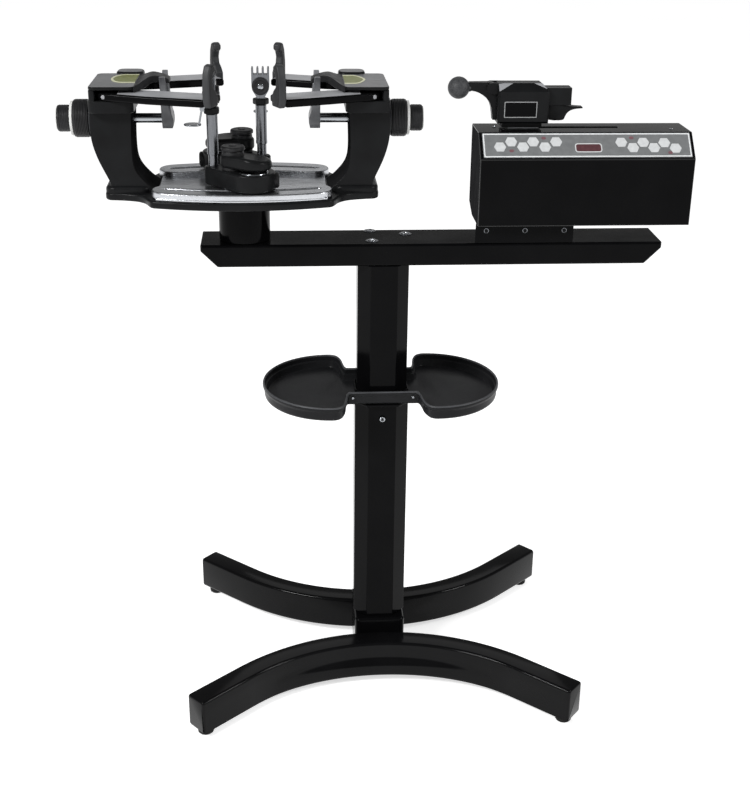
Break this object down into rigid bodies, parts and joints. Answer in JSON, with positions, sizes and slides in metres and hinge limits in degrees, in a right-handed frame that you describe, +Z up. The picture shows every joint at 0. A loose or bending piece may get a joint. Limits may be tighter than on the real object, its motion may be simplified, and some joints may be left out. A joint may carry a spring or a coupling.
{
  "type": "racket stringing machine",
  "caption": "Racket stringing machine on a bow-legged floor stand, with a turntable, string clamps and an electronic tensioner.",
  "frame": {"origin": "on the floor, at the middle of the machine's overall width and depth", "axes": "+Z up, +X towards the tensioner along the beam, -Y towards the user"},
  "size_m": [0.92, 0.4712, 1.0093],
  "materials": {
    "gloss_black_paint": "smooth gloss black powder paint over steel",
    "black_rubber": "matte black rubber",
    "black_tray_plastic": "satin black moulded plastic",
    "chromed_steel": "bright chrome plating",
    "chassis_steel": "plain machined steel",
    "panel_film": "grey printed film with bare hexagonal keys",
    "black_moulded_plastic": "fine-textured black plastic",
    "circuit_board_laminate": "green laminate",
    "black_casting": "satin black paint over cast aluminium",
    "polished_aluminium": "polished bare aluminium",
    "grey_plastic": "satin dark grey moulded plastic"
  },
  "bodies": {
    "stand": {"front_leg": "gloss_black_paint", "rear_leg": "gloss_black_paint", "foot_front_left": "black_rubber", "foot_front_right": "black_rubber", "foot_rear_left": "black_rubber", "foot_rear_right": "black_rubber", "column_base": "gloss_black_paint", "lower_column": "gloss_black_paint", "accessory_tray": "black_tray_plastic"},
    "lock_screw": {"height_lock_screw": "chromed_steel"},
    "mast": {"upper_column": "gloss_black_paint", "main_beam": "gloss_black_paint", "turntable_post": "gloss_black_paint", "console_bracket": "gloss_black_paint", "console_shell": "gloss_black_paint", "console_base_plate": "chassis_steel", "control_panel": "panel_film", "power_inlet": "black_moulded_plastic", "circuit_board": "circuit_board_laminate", "drive_motor": "chassis_steel", "guide_rod_front": "chassis_steel", "guide_rod_rear": "chassis_steel"},
    "power_rocker": {"power_rocker": "black_moulded_plastic"},
    "carriage": {"carriage_block": "chassis_steel", "tension_head": "black_casting"},
    "lead_screw": {"lead_screw": "chassis_steel"},
    "grip_lever": {"grip_lever": "black_casting", "grip_lever_ball": "grey_plastic"},
    "wing_lever": {"wing_lever": "black_casting"},
    "turntable": {"turntable_base": "black_casting", "rail_plate": "polished_aluminium", "tower_left": "black_casting", "tower_right": "black_casting", "top_plate_left": "black_casting", "top_plate_right": "black_casting", "nose_support_left": "black_moulded_plastic", "nose_support_right": "black_moulded_plastic"},
    "side_arm_front_left": {"side_arm_front_left": "black_casting", "claw_front_left": "grey_plastic"},
    "side_arm_rear_left": {"side_arm_rear_left": "black_casting", "claw_rear_left": "grey_plastic"},
    "side_arm_knob_left": {"side_arm_knob_left": "black_moulded_plastic"},
    "center_hook_left": {"center_hook_left": "grey_plastic"},
    "hook_knob_left": {"hook_knob_left": "black_moulded_plastic"},
    "side_arm_front_right": {"side_arm_front_right": "black_casting", "claw_front_right": "grey_plastic"},
    "side_arm_rear_right": {"side_arm_rear_right": "black_casting", "claw_rear_right": "grey_plastic"},
    "side_arm_knob_right": {"side_arm_knob_right": "black_moulded_plastic"},
    "center_hook_right": {"center_hook_right": "grey_plastic"},
    "hook_knob_right": {"hook_knob_right": "black_moulded_plastic"},
    "clamp_base_front": {"clamp_base_front": "black_casting"},
    "clamp_lock_lever_front": {"clamp_lock_lever_front": "black_casting"},
    "clamp_post_front": {"clamp_post_front": "chromed_steel"},
    "clamp_jaw_lever_front": {"clamp_jaw_lever_front": "chromed_steel"},
    "clamp_base_rear": {"clamp_base_rear": "black_casting"},
    "clamp_lock_lever_rear": {"clamp_lock_lever_rear": "black_casting"},
    "clamp_post_rear": {"clamp_post_rear": "chromed_steel"},
    "clamp_jaw_lever_rear": {"clamp_jaw_lever_rear": "chromed_steel"}
  },
  "joints": [
    {"name": "mast_height", "type": "slide", "parent": "stand", "child": "mast", "axis": [0, 0, 1], "range_m": [0, 0.08]},
    {"name": "lock_screw_turn", "type": "hinge", "parent": "stand", "child": "lock_screw", "pos_m": [0.01, -0.045, 0.456], "axis": [0, 1, 0], "range_deg": [0, 720]},
    {"name": "power_rocker_tip", "type": "hinge", "parent": "mast", "child": "power_rocker", "pos_m": [0.267, 0.0353, 0.798], "axis": [1, 0, 0], "range_deg": [-16, 0]},
    {"name": "carriage_slide", "type": "slide", "parent": "mast", "child": "carriage", "axis": [1, 0, 0], "range_m": [0, 0.1]},
    {"name": "lead_screw_turn", "type": "hinge", "parent": "mast", "child": "lead_screw", "pos_m": [0.27, 0.008, 0.826], "axis": [1, 0, 0], "range_deg": [0, 3600]},
    {"name": "grip_lever_lift", "type": "hinge", "parent": "carriage", "child": "grip_lever", "pos_m": [0.1655, 0.008, 0.959], "axis": [0, 1, 0], "range_deg": [0, 60]},
    {"name": "wing_lever_swing", "type": "hinge", "parent": "carriage", "child": "wing_lever", "pos_m": [0.263, 0.008, 0.924], "axis": [0, 0, 1], "range_deg": [-35, 55]},
    {"name": "turntable_turn", "type": "hinge", "parent": "mast", "child": "turntable", "pos_m": [-0.197, 0, 0.8], "axis": [0, 0, 1], "continuous": true},
    {"name": "side_arm_front_left_swing", "type": "hinge", "parent": "turntable", "child": "side_arm_front_left", "pos_m": [-0.375, -0.042, 0.957], "axis": [0, 0, -1], "range_deg": [-2, 6]},
    {"name": "side_arm_rear_left_swing", "type": "hinge", "parent": "turntable", "child": "side_arm_rear_left", "pos_m": [-0.375, 0.042, 0.957], "axis": [0, 0, -1], "range_deg": [-6, 2]},
    {"name": "side_arm_knob_left_turn", "type": "hinge", "parent": "turntable", "child": "side_arm_knob_left", "pos_m": [-0.417, 0, 0.917], "axis": [-1, 0, 0], "range_deg": [-180, 540]},
    {"name": "center_hook_left_slide", "type": "slide", "parent": "turntable", "child": "center_hook_left", "axis": [-1, 0, 0], "range_m": [-0.006, 0.006]},
    {"name": "hook_knob_left_turn", "type": "hinge", "parent": "turntable", "child": "hook_knob_left", "pos_m": [-0.447, 0, 0.917], "axis": [-1, 0, 0], "range_deg": [-1080, 1080]},
    {"name": "side_arm_front_right_swing", "type": "hinge", "parent": "turntable", "child": "side_arm_front_right", "pos_m": [-0.019, -0.042, 0.957], "axis": [0, 0, 1], "range_deg": [-2, 6]},
    {"name": "side_arm_rear_right_swing", "type": "hinge", "parent": "turntable", "child": "side_arm_rear_right", "pos_m": [-0.019, 0.042, 0.957], "axis": [0, 0, 1], "range_deg": [-6, 2]},
    {"name": "side_arm_knob_right_turn", "type": "hinge", "parent": "turntable", "child": "side_arm_knob_right", "pos_m": [0.023, 0, 0.917], "axis": [1, 0, 0], "range_deg": [-180, 540]},
    {"name": "center_hook_right_slide", "type": "slide", "parent": "turntable", "child": "center_hook_right", "axis": [1, 0, 0], "range_m": [-0.006, 0.006]},
    {"name": "hook_knob_right_turn", "type": "hinge", "parent": "turntable", "child": "hook_knob_right", "pos_m": [0.053, 0, 0.917], "axis": [1, 0, 0], "range_deg": [-1080, 1080]},
    {"name": "clamp_base_front_glide", "type": "hinge", "parent": "turntable", "child": "clamp_base_front", "pos_m": [-0.197, 0.332, 0.84], "axis": [0, 0, 1], "range_deg": [-0.5, 12]},
    {"name": "clamp_lock_lever_front_turn", "type": "hinge", "parent": "clamp_base_front", "child": "clamp_lock_lever_front", "pos_m": [-0.209, -0.058, 0.865], "axis": [0, 0, 1], "range_deg": [0, 60]},
    {"name": "clamp_post_front_swivel", "type": "hinge", "parent": "clamp_base_front", "child": "clamp_post_front", "pos_m": [-0.238, -0.035, 0.9], "axis": [0, 0, 1], "range_deg": [-90, 90]},
    {"name": "clamp_jaw_lever_front_lift", "type": "hinge", "parent": "clamp_post_front", "child": "clamp_jaw_lever_front", "pos_m": [-0.251, -0.035, 0.937], "axis": [0, 1, 0], "range_deg": [0, 60]},
    {"name": "clamp_base_rear_glide", "type": "hinge", "parent": "turntable", "child": "clamp_base_rear", "pos_m": [-0.197, -0.332, 0.84], "axis": [0, 0, 1], "range_deg": [-2.6, 9.9]},
    {"name": "clamp_lock_lever_rear_turn", "type": "hinge", "parent": "clamp_base_rear", "child": "clamp_lock_lever_rear", "pos_m": [-0.19927, 0.05818, 0.865], "axis": [0, 0, 1], "range_deg": [0, 60]},
    {"name": "clamp_post_rear_swivel", "type": "hinge", "parent": "clamp_base_rear", "child": "clamp_post_rear", "pos_m": [-0.16945, 0.03625, 0.9], "axis": [0, 0, 1], "range_deg": [-90, 90]},
    {"name": "clamp_jaw_lever_rear_lift", "type": "hinge", "parent": "clamp_post_rear", "child": "clamp_jaw_lever_rear", "pos_m": [-0.16993, 0.04924, 0.937], "axis": [0.9993, 0.0366, 0], "range_deg": [0, 60]}
  ],
  "couplings": [
    {"joint": "lead_screw_turn", "follows": "carriage_slide", "rad_per_m": 628.32},
    {"joint": "side_arm_rear_left_swing", "follows": "side_arm_front_left_swing", "ratio": -1},
    {"joint": "side_arm_knob_left_turn", "follows": "side_arm_front_left_swing", "ratio": 90},
    {"joint": "hook_knob_left_turn", "follows": "center_hook_left_slide", "rad_per_m": 3141.6},
    {"joint": "side_arm_rear_right_swing", "follows": "side_arm_front_right_swing", "ratio": -1},
    {"joint": "side_arm_knob_right_turn", "follows": "side_arm_front_right_swing", "ratio": 90},
    {"joint": "hook_knob_right_turn", "follows": "center_hook_right_slide", "rad_per_m": 3141.6}
  ]
}
